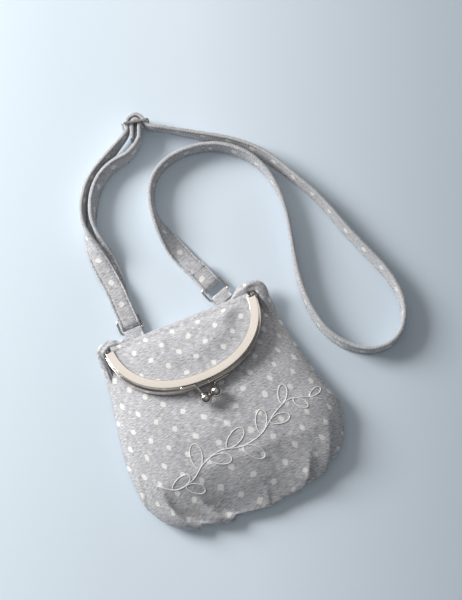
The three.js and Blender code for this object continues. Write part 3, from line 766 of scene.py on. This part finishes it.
claspPlan = {
    "upper": {"side": 1, "from": 18, "to": 6.4, "arm": [(7.6, 53.6, 3.4), (6.7, 54.9, 3.2), (5.9, 57.2, 2.4), (4.9, 60.0, 0.9)],
              "ball": (3.4, 64.4, -1.2)},
    "lower": {"side": -1, "from": -19, "to": -6.4, "arm": [(-7.4, 54.9, -2.4), (-6.6, 55.6, -2.6), (-6.2, 57.2, -2.2), (-5.8, 58.8, -1.6)],
              "ball": (-5.2, 62.5, -0.6)},
    "ballRadius": 4.4, "armRadius": 0.95, "low": 0.9, "high": 4.1, "thick": 0.8, "clear": 0.3,
}


def claspPlate(name, plan):
    side = plan["side"]
    proud = 0 if side > 0 else framePlan["lowerProud"]
    out = -(claspPlan["clear"] + claspPlan["thick"])
    outline = roundOutline([(out, claspPlan["low"]), (-claspPlan["clear"], claspPlan["low"]),
                            (-claspPlan["clear"], claspPlan["high"]), (out, claspPlan["high"])], 0.3)
    wanted = sorted((plan["from"], plan["to"]), reverse=True)
    turns = []
    for x in wanted:
        turn = 45
        while arcPoint(turn, 0, proud).x > x:
            turn += 0.05
        turns.append(turn)
    steps = 24
    bm = straightBar([(x, side * y) for x, y in outline], steps)
    for vert in bm.verts:
        inset, height, share = vert.co.x, vert.co.y, vert.co.z
        taper = 1 - 0.35 * max(0, abs(share - 0.5) * 2 - 0.8) / 0.2
        middle = side * (claspPlan["low"] + claspPlan["high"]) / 2
        vert.co = (*arcPoint(mix(*turns, share), inset, proud), middle + (height - middle) * taper)
    closeEnds(bm)
    plate = newPiece(name + "_catch_plate", bm, [nickel], flapPlace)
    keepFlatsFlat(plate)
    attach(plate, name + "_half")
    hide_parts(name + "_clasp_plate")


def claspCatch(name, plan):
    points = [Vector(point) for point in plan["arm"]]
    line = [catmullRom(points, i / 24) for i in range(25)]
    arm = wire(name + "_catch_arm", line, claspPlan["armRadius"], False, nickel, flapPlace, sides=4)
    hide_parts(name + "_clasp_arm")
    centre = Vector(plan["ball"])
    neck = (points[-1] - centre).normalized()
    r = claspPlan["ballRadius"]
    profile = [(0, -r)] + [(r * math.cos(a), r * math.sin(a)) for a in
                           [math.radians(-88 + 4 * k) for k in range(39)]]
    top = profile[-1]
    profile += [(1.75, top[1] + 0.06), (1.85, top[1] + 0.3), (1.6, top[1] + 0.55), (0, top[1] + 0.6)]
    bm = turned(profile, 48)
    bm.transform(Matrix.Translation(centre) @ neck.to_track_quat("Z", "Y").to_matrix().to_4x4())
    ball = newPiece(name + "_catch_ball", bm, [nickel], flapPlace)
    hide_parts(name + "_clasp_ball")
    for piece in (arm, ball):
        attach(piece, name + "_catch")


for half in ("upper", "lower"):
    claspPlate(half, claspPlan[half])
    claspCatch(half, claspPlan[half])
for node in ("upper_channel_cord", "lower_channel_cord"):
    frame["nodes"][node].data.materials.clear()
    frame["nodes"][node].data.materials.append(kraftPaper)
print("frame and clasp")


# The pouch: a filled bag, flat underneath, gathered at its bottom edge

pouchPlan = {
    "outline": [
        (0, -76), (14, -76.5), (30, -74), (48, -71.5), (63, -65), (76, -56), (85, -40), (88, -24),
        (83, -6), (77, 16), (73, 38), (70, 58), (66, 71), (57, 74.5), (45, 74), (28, 73.4),
        (2, 73), (-24, 73.4), (-42, 74), (-54, 74.5), (-63, 71), (-66, 56), (-69, 34),
        (-73, 10), (-75.5, -12), (-74.5, -34), (-70, -51), (-57, -65), (-38, -72), (-18, -74.5)],
    "centre": (6, 4), "seam": 8, "seamAtTop": 2.8, "grid": 154, "liningGrid": 90,
    "frontHeight": [(78, 5.0), (70, 6.6), (50, 12.8), (26, 20.4), (10, 24.2), (-12, 26), (-36, 25.4),
                    (-56, 20.5), (-70, 14), (-80, 10)],
    # Tucks in the gathered edge: from the inner end to the edge, and how far each steps.
    "tucks": [
        {"inner": (-57, -40), "outer": (-41, -70), "step": 6.6, "bow": 4.0},
        {"inner": (-34, -52), "outer": (-11, -77), "step": 7.0, "bow": 4.0},
        {"inner": (56, -50), "outer": (38, -74), "step": 4.6, "bow": -2.0},
        {"inner": (77, -32), "outer": (61, -65), "step": 4.4, "bow": -2.0},
        {"inner": (16, -62), "outer": (12, -78), "step": 1.2, "bow": 0.5},
        {"inner": (-67, -16), "outer": (-72, -48), "step": 1.6, "bow": 1.0},
    ],
}
pouchOutline = [Vector(point) for point in pouchPlan["outline"]]


def heightAlong(table, y):
    for (upperY, upper), (lowerY, lower) in zip(table, table[1:]):
        if y >= lowerY:
            share = min(max((y - lowerY) / (upperY - lowerY), 0), 1)
            return mix(lower, upper, share)
    return table[-1][1]


def fullness(y):
    return 1 - smoothStep(12, 74, y)


def seamHeight(y):
    return mix(pouchPlan["seamAtTop"], pouchPlan["seam"], fullness(y))


def tuckStep(x, y):
    # How far a point stands up at the tucks: raised on one side of each line, sunk on the other.
    total = 0
    for tuck in pouchPlan["tucks"]:
        inner, outer = Vector(tuck["inner"]), Vector(tuck["outer"])
        way = outer - inner
        long = way.length
        way /= long
        offset = Vector((x, y)) - inner
        along = offset.dot(way) / long
        bow = tuck["bow"] * math.sin(math.pi * min(max(along, 0), 1))
        aside = offset.dot(Vector((-way.y, way.x))) + bow
        if not -0.2 < along < 1.3 or abs(aside) > 30:
            continue
        grows = smoothStep(-0.2, 0.8, along)
        sharp = mix(2.6, 0.7, grows)
        side = math.tanh(aside / sharp)
        fade = math.exp(-abs(aside) / (8 if aside < 0 else 6.5))
        total -= tuck["step"] * grows * (side * fade - 0.15 * fade)
    return total


def pouchPoint(turn, share, inset, front):
    rim = catmullRom(pouchOutline, turn % 1, closed=True)
    ahead = catmullRom(pouchOutline, (turn + 0.002) % 1, closed=True)
    along = (ahead - rim).normalized()
    centre = Vector(pouchPlan["centre"])
    drawn = rim + Vector((-along.y, along.x)) * inset
    flat = centre.lerp(drawn, share)
    y = mix(centre.y, rim.y, share)
    seam = seamHeight(y)
    if front:
        top = heightAlong(pouchPlan["frontHeight"], y) - inset
        z = seam + 0.15 + (top - seam) * (1 - share ** 3.2) ** 0.6
        soft = noise.noise(Vector((flat.x / 26, flat.y / 26, 1.7))) * 1.1
        soft += noise.noise(Vector((flat.x / 9, flat.y / 9, 5.1))) * 0.22
        z += soft * (1 - share ** 8) * smoothStep(76, 40, y)
        tuck = tuckStep(flat.x, flat.y) * (1 - share ** 14)
        z += tuck if inset < 0.1 else min(tuck, 0) * 1.1
    else:
        curl = fullness(y) * max(0, (share - 0.8) / 0.2) ** 2.2
        z = mix(inset + 0.3, seam - 0.15, curl)
        z += abs(noise.noise(Vector((flat.x / 17, flat.y / 17, 9)))) * 0.7 * smoothStep(1, 0.7, share)
    if inset < 0.1 and share > 0.6:
        outward = Vector((along.y, -along.x))
        push = tuckStep(flat.x, flat.y) * 0.36 * smoothStep(0.75, 1, share)
        flat += outward * push
    return Vector((flat.x, flat.y, z))


# Where the printed cloth lies on a piece: each list gives the cloth's u and v as a sum of
# terms 1, x, y, x2, xy, y2, x3, x2y, xy2, y3, with x and y in hundreds of millimetres.
clothPlan = {
    "pouch": ([-47.15, 91.34, 13.25, -2.0, 14.17, -3.14, 40.67, 19.81, 14.76, -22.45],
              [9.69, 1.02, 94.7, 4.0, 4.14, 4.68, 1.15, -11.5, 2.13, 8.31]),
    "flap": ([-37.6, 111.78, -11.13, -0.18, 16.79, -11.27], [11.76, 1.96, 86.87, -9.6, -6.69, -29.48]),
}


def clothPlace(plan, x, y):
    x, y = x / 100, y / 100
    terms = (1, x, y, x * x, x * y, y * y, x ** 3, x * x * y, x * y * y, y ** 3)
    return (*[sum(a * b for a, b in zip(row, terms)) for row in plan], 0)


def pouchFace(bm, cloth, inset, front):
    # A grid drawn to a disc, then to the outline.
    count = pouchPlan["liningGrid" if inset else "grid"]
    made = bmesh.ops.create_grid(bm, x_segments=count, y_segments=count, size=1)
    for vert in made["verts"]:
        s, t = vert.co.x, vert.co.y
        x, y = s * math.sqrt(1 - t * t / 2), t * math.sqrt(1 - s * s / 2)
        share = min(math.hypot(x, y), 1)
        turn = math.atan2(x, -y) / (2 * math.pi)
        vert.co = pouchPoint(turn, share, inset, front)
        vert[cloth] = clothPlace(clothPlan["pouch"], vert.co.x, vert.co.y)
    if not front:
        bmesh.ops.reverse_faces(bm, faces=list({face for vert in made["verts"] for face in vert.link_faces}))


def pouchShell(name, inset, thickness, material):
    bm = bmesh.new()
    cloth = bm.verts.layers.float_vector.new("cloth")
    pouchFace(bm, cloth, inset, True)
    pouchFace(bm, cloth, inset, False)
    rim = [vert for vert in bm.verts if vert.is_boundary]
    bmesh.ops.remove_doubles(bm, verts=rim, dist=0.7)
    mouth = [face for face in bm.faces if face.calc_center_median().y > 70.4
             and abs(face.calc_center_median().x) < 50]
    bmesh.ops.delete(bm, geom=mouth, context="FACES")
    shell = newPiece(name, bm, [material])
    wall = shell.modifiers.new("cloth_thickness", "SOLIDIFY")
    wall.thickness = thickness * mm
    wall.offset = -1
    return shell


pouch = pouchShell("pouch_jersey", 0, 0.9, jersey)
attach(pouch, "pouch")
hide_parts("front_panel", "back_panel")
pouchLining = pouchShell("pouch_lining", 1.9, 0.5, lining)
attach(pouchLining, "pouch")
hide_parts("lining_front", "lining_back")
print("pouch")


# The fold over the hinge line and the flap in the frame, one cloth cut at its crest

foldPlan = {
    "centreY": 70.5, "centreZ": 8.5, "deepY": 5.4, "deepZ": 8.0, "halfWidth": 55, "across": 150,
    "flapInset": 3.3, "flapBase": 3.3, "swell": 3.3,
}


def arcHalfWidth(v, inset, proud=0):
    deep = framePlan["depth"] + proud - inset
    wide = framePlan["halfWidth"] + proud - inset
    return wide * (1 - min(v / deep, 1) ** framePlan["roundness"]) ** (1 / framePlan["roundness"])


def toWorld(x, v, w):
    return flapPlace @ Vector((x, v, w))


def foldCrest(x):
    # The crest stands a little further out towards the hinges.
    return 3.4 * smoothStep(34, 58, abs(x)) + 0.5 * noise.noise(Vector((x / 14, 2, 7)))


def foldPoint(x, angle):
    plan = foldPlan
    lobe = foldCrest(x)
    high = 0.9 * smoothStep(46, 58, abs(x))
    y = plan["centreY"] + (plan["deepY"] + lobe) * math.cos(angle)
    z = plan["centreZ"] + (plan["deepZ"] + high) * math.sin(angle)
    z += 0.35 * noise.noise(Vector((x / 8, angle * 1.5, 4))) * math.cos(angle)
    return Vector((x, y, max(z, 0.3)))


def flapPoint(share, v, rise, base):
    # share runs across the arc; the cloth swells between the channel and the hinge line.
    deep = framePlan["depth"] - foldPlan["flapInset"]
    wide = framePlan["halfWidth"] - foldPlan["flapInset"]
    power = framePlan["roundness"]
    far = deep * (1 - abs(share) ** power) ** (1 / power)
    start = 3.8
    down = mix(start, max(far, start + 0.5), v)
    outwards = (abs(share) ** power + (down / deep) ** power) ** (1 / power)
    swell = rise * (1 - smoothStep(0.55, 0.9, outwards)) * smoothStep(start - 2, 12, down)
    x = share * wide
    toRight = math.hypot(x + 57, down - 3)
    fan = math.sin(5.5 * math.atan2(down - 3, x + 60) + 1.2 * math.sin(toRight / 9))
    creases = 1.5 * fan * smoothStep(3, 12, toRight) * (1 - smoothStep(16, 40, toRight))
    toLeft = math.hypot(x - 57, down - 3)
    creases += 0.9 * math.sin(5 * math.atan2(down - 3, 60 - x)) * smoothStep(3, 12, toLeft) * (
        1 - smoothStep(12, 30, toLeft))
    soft = noise.noise(Vector((x / 17, down / 17, 8))) * 0.9 + noise.noise(Vector((x / 7, down / 7, 3))) * 0.25
    held = 1 - smoothStep(0.62, 0.88, outwards)
    return toWorld(x, down, base + swell + (creases + soft) * held)


def sheetPiece(name, rows, material, thickness, offset=-1, before=0):
    # rows is a list of rows of points; a grid is laid over them. The cloth is measured
    # down each column, from before at the first row.
    across, down = len(rows[0]), len(rows)
    measured = [[before] * across]
    for above, row in zip(rows, rows[1:]):
        measured.append([far + (b - a).length for far, a, b in zip(measured[-1], above, row)])
    bm = bmesh.new()
    cloth = bm.verts.layers.float_vector.new("cloth")
    made = bmesh.ops.create_grid(bm, x_segments=across - 1, y_segments=down - 1, size=1)
    for vert in made["verts"]:
        i = round((vert.co.x + 1) / 2 * (across - 1))
        k = round((vert.co.y + 1) / 2 * (down - 1))
        vert.co = rows[k][i]
        vert[cloth] = clothPlace(clothPlan["flap"], vert.co.x, -measured[k][i])
    piece = newPiece(name, bm, [material])
    wall = piece.modifiers.new("cloth_thickness", "SOLIDIFY")
    wall.thickness = thickness * mm
    wall.offset = offset
    return piece


def flapShares(count):
    return [math.sin(mix(-1, 1, i / count) * math.pi / 2) * 0.992 for i in range(count + 1)]


def foldRows(fromAngle, toAngle, count):
    rows = []
    for k in range(count + 1):
        angle = math.radians(mix(fromAngle, toAngle, k / count))
        row = []
        for share in flapShares(foldPlan["across"]):
            x = -share * foldPlan["halfWidth"]
            row.append(foldPoint(x, angle))
        rows.append(row)
    return rows


def flapRows():
    # From the crest over the top of the fold, then down the flap to the channel.
    rows = foldRows(0, 78, 16)
    plan = foldPlan
    count = 64
    for k in range(count + 1):
        v = (k / count) ** 1.15
        row = []
        for share in flapShares(plan["across"]):
            point = flapPoint(share, v, plan["swell"], plan["flapBase"])
            topX = -share * plan["halfWidth"]
            top = foldPoint(topX, math.radians(90))
            row.append(top.lerp(point, smoothStep(-0.02, 0.14, v)))
        rows.append(row)
    return rows


foldLength = sum((foldPoint(0, math.radians(a + 4)) - foldPoint(0, math.radians(a))).length
                 for a in range(-94, -1, 4))
fold = sheetPiece("back_fold_jersey", foldRows(-94, 0, 26), jersey, 0.9, before=-foldLength)
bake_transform(fold)
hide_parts("fold_band")
flap = sheetPiece("flap_jersey", flapRows(), jersey, 0.9)
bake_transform(flap)
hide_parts("upper_flap")


def flatSheetRows(base, rise, inset, proud, across=90, down=40):
    rows = []
    deep = framePlan["depth"] + proud - inset
    wide = framePlan["halfWidth"] + proud - inset
    power = framePlan["roundness"]
    for k in range(down + 1):
        row = []
        for share in flapShares(across):
            far = deep * (1 - abs(share) ** power) ** (1 / power)
            v = mix(3.4, max(far, 4), k / down)
            outwards = (abs(share) ** power + (v / deep) ** power) ** (1 / power)
            swell = rise * (1 - smoothStep(0.5, 0.9, outwards)) * smoothStep(3, 14, v)
            row.append(toWorld(share * wide, v, base + swell))
        rows.append(row)
    return rows


def lowerFlapRows():
    # From the front panel's top edge round into the sheet under the frame.
    rows = flatSheetRows(-3.4, -0.5, 3.6, framePlan["lowerProud"])
    lead = []
    for y, z in ((62, 9.4), (66, 8.4), (69, 8.2), (71, 8.8), (71.3, 9.8)):
        lead.append([Vector((point.x, y, z)) for point in rows[0]])
    return lead + rows


lowerFlap = sheetPiece("lower_flap_jersey", lowerFlapRows(), jersey, 0.8, offset=1)
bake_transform(lowerFlap)
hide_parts("lower_flap")
for name, base, rise, proud in (("upper", 1.6, 3.2, 0), ("lower", -1.5, -0.5, framePlan["lowerProud"])):
    sheet = sheetPiece(name + "_mouth_lining", flatSheetRows(base, rise, 3.8, proud), lining, 0.5)
    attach(sheet, name + "_half")
    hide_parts(name + "_flap_lining")
print("fold and flap")


# Embroidery: a sprig in outline stitch, a wavy stem with paired leaves

sprigPlan = {
    "stem": [(-60, -33), (-48, -41), (-34, -39), (-22, -31), (-8, -27), (8, -30), (24, -27), (38, -17),
             (52, -11), (66, -14), (75, -19)],
    "leaves": [(0.08, 1, 15), (0.15, -1, 14), (0.26, 1, 18), (0.33, -1, 16), (0.43, 1, 18), (0.50, -1, 17),
               (0.60, 1, 17), (0.66, -1, 15), (0.76, 1, 14), (0.82, -1, 12), (0.91, 1, 10)],
    "thread": 0.36, "width": 0.34, "above": 0.12,
}


def laidOnFront(front, points):
    # Drops flat points on to the pouch's front, a little above the cloth.
    laid = []
    for point in points:
        hit, normal, _, _ = front.ray_cast(Vector((point.x, point.y, 60)) * mm, Vector((0, 0, -1)))
        laid.append(hit / mm + normal * sprigPlan["above"])
    return laid


def leafOutline(root, way, long, hand):
    # A pointed oval that leans away from the stem, as a closed loop from its root.
    turn = Matrix.Rotation(hand * 0.75, 2)
    out = turn @ way
    aside = Vector((-out.y, out.x))
    loop = []
    for i in range(33):
        share = i / 32
        reach = 0.5 - 0.5 * math.cos(2 * math.pi * share)
        bulge = math.sin(2 * math.pi * share) * sprigPlan["width"] * (0.75 + 0.25 * reach)
        loop.append(root + out * (1 + reach * long) + aside * bulge * long * 0.8)
    return loop


def addEmbroidery(plan):
    front = BVHTree.FromObject(pouch, bpy.context.evaluated_depsgraph_get())
    stem = [Vector(point) for point in plan["stem"]]
    line = [catmullRom(stem, i / 160) for i in range(161)]
    loops = [line]
    for share, hand, long in plan["leaves"]:
        at = catmullRom(stem, share)
        way = (catmullRom(stem, min(share + 0.01, 1)) - catmullRom(stem, share - 0.01)).normalized()
        loops.append(leafOutline(at, way, long, hand))
    threads = [wire("sprig_thread", laidOnFront(front, loop), plan["thread"], False, whiteThread)
               for loop in loops]
    bm = bmesh.new()
    for thread in threads:
        bm.from_mesh(thread.data)
        bpy.data.objects.remove(thread)
    bm.transform(Matrix.Scale(1 / mm, 4))
    sprig = newPiece("embroidered_sprig", bm, [whiteThread])
    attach(sprig, "pouch")


addEmbroidery(sprigPlan)
print("embroidery")


# Ears: the side seams' spare cloth, bunched round each hinge

earPlan = {
    "right": [(41, 73.8, 11, 3.4), (50, 77.2, 12.4, 4.2), (58.6, 79.2, 12.6, 4.6), (64.6, 75.4, 10.8, 4.8),
              (66.4, 66, 7.6, 4.4), (66.6, 55, 5.6, 3.6), (67, 42, 4.5, 2.4)],
    "left": [(-38, 74.2, 11, 3.0), (-48, 75.8, 12, 3.6), (-56.4, 76.8, 12.3, 3.9), (-61.8, 73.8, 10.5, 3.7),
             (-62.6, 65, 7.6, 3.1), (-62.8, 55, 5.6, 2.5), (-63.4, 44, 4.5, 2.0)],
    "steps": 80, "sides": 36,
}


def addEar(side):
    points = [Vector(point) for point in earPlan[side]]
    steps, sides = earPlan["steps"], earPlan["sides"]
    outline = [(math.cos(2 * math.pi * k / sides), math.sin(2 * math.pi * k / sides)) for k in range(sides)]
    line = [catmullRom(points, i / steps) for i in range(steps + 1)]
    bm = straightBar(outline, steps)
    cloth = bm.verts.layers.float_vector.new("cloth")
    for vert in bm.verts:
        a, b, i = vert.co.x, vert.co.y, round(vert.co.z * steps)
        here = line[i]
        along = (line[min(i + 1, steps)] - line[max(i - 1, 0)]).to_3d().normalized()
        aside = Vector((0, 0, 1)).cross(along).normalized()
        up = along.cross(aside)
        ends = math.sqrt(max(1 - abs(2 * i / steps - 1) ** 6, 0.02))
        pucker = 1 + 0.3 * noise.noise(Vector((a * 1.3, b * 1.3, i * 0.11)))
        pucker += 0.1 * math.sin(5 * math.atan2(b, a) + i * 0.09)
        radius = here.w * ends * pucker
        vert.co = here.to_3d() + aside * a * radius + up * b * radius
        vert[cloth] = clothPlace(clothPlan["pouch"], vert.co.x, vert.co.y)
    closeEnds(bm)
    ear = newPiece(side + "_hinge_gather", bm, [jersey])
    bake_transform(ear)


addEar("left")
addEar("right")
print("ears")


# Floor, backdrop light and lamps

def addFloor():
    # Seamless pale blue paper, lit from one side; the lamp's fall-off is also painted into its colour.
    bm = bmesh.new()
    bmesh.ops.create_grid(bm, x_segments=1, y_segments=1, size=1600)
    bm.transform(Matrix.Translation((0, 0, -0.05)))
    material, tree, shader = newMaterial("backdrop_paper_painted_falloff", Roughness=0.9, Specular_IOR_Level=0.1)
    place = addNode(tree, "ShaderNodeTexCoord").outputs["Object"]
    # Painted light fall-off: the paper's colour is paler towards the lamp, from lower right to upper left.
    across = addNode(tree, "ShaderNodeVectorMath", {0: place, 1: (0.80, -0.22, 0)}, operation="DOT_PRODUCT")
    shade = addNode(tree, "ShaderNodeMapRange", {"Value": across.outputs["Value"], "From Min": -0.18, "From Max": 0.2})
    color = colorSteps(tree, shade.outputs["Result"], (0.0, "#E2F0FA"), (0.28, "#DBE8F3"), (0.5, "#DDE9F4"), (0.9, "#C2CFDA"), (1.0, "#BECAD4"))
    tree.links.new(color, shader.inputs["Base Color"])
    floor = newPiece("floor", bm, [material])


def addLamp(name, place, aim, size, power, color):
    lamp = bpy.data.objects.new(name, bpy.data.lights.new(name, "AREA"))
    lamp.data.shape = "RECTANGLE"
    lamp.data.size, lamp.data.size_y = size
    lamp.data.energy = power
    lamp.data.color = srgb(color)[:3]
    lamp.location = place
    lamp.rotation_mode = "QUATERNION"
    lamp.rotation_quaternion = (Vector(place) - Vector(aim)).to_track_quat("Z", "Y")
    bpy.context.scene.collection.objects.link(lamp)


addFloor()
middle = (.03, .07, 0)
addLamp("key_softbox", (-.98, 1.12, .80), middle, (.75, .75), 36, "#FFFDFA")
addLamp("warm_card", (.14, 1.35, 1.15), middle, (1.0, .5), 2.0, "#FFF8F1")
addLamp("overhead_fill", (.2, -.1, 2.4), middle, (1.6, 1.6), 3, "#FFFFFF")


def addSky():
    world = bpy.data.worlds.new("studio")
    world.use_nodes = True
    tree = world.node_tree
    background = tree.nodes["Background"]
    place = addNode(tree, "ShaderNodeTexCoord").outputs["Generated"]
    height = addNode(tree, "ShaderNodeSeparateXYZ", {0: place}).outputs["Z"]
    color = colorSteps(tree, height, (0.0, "#2B2927"), (0.3, "#7C7D7E"), (0.75, "#DADBDC"))
    tree.links.new(color, background.inputs["Color"])
    background.inputs["Strength"].default_value = 0.38
    bpy.context.scene.world = world


addSky()
bpy.context.scene.view_settings.view_transform = "Standard"
print("stage")
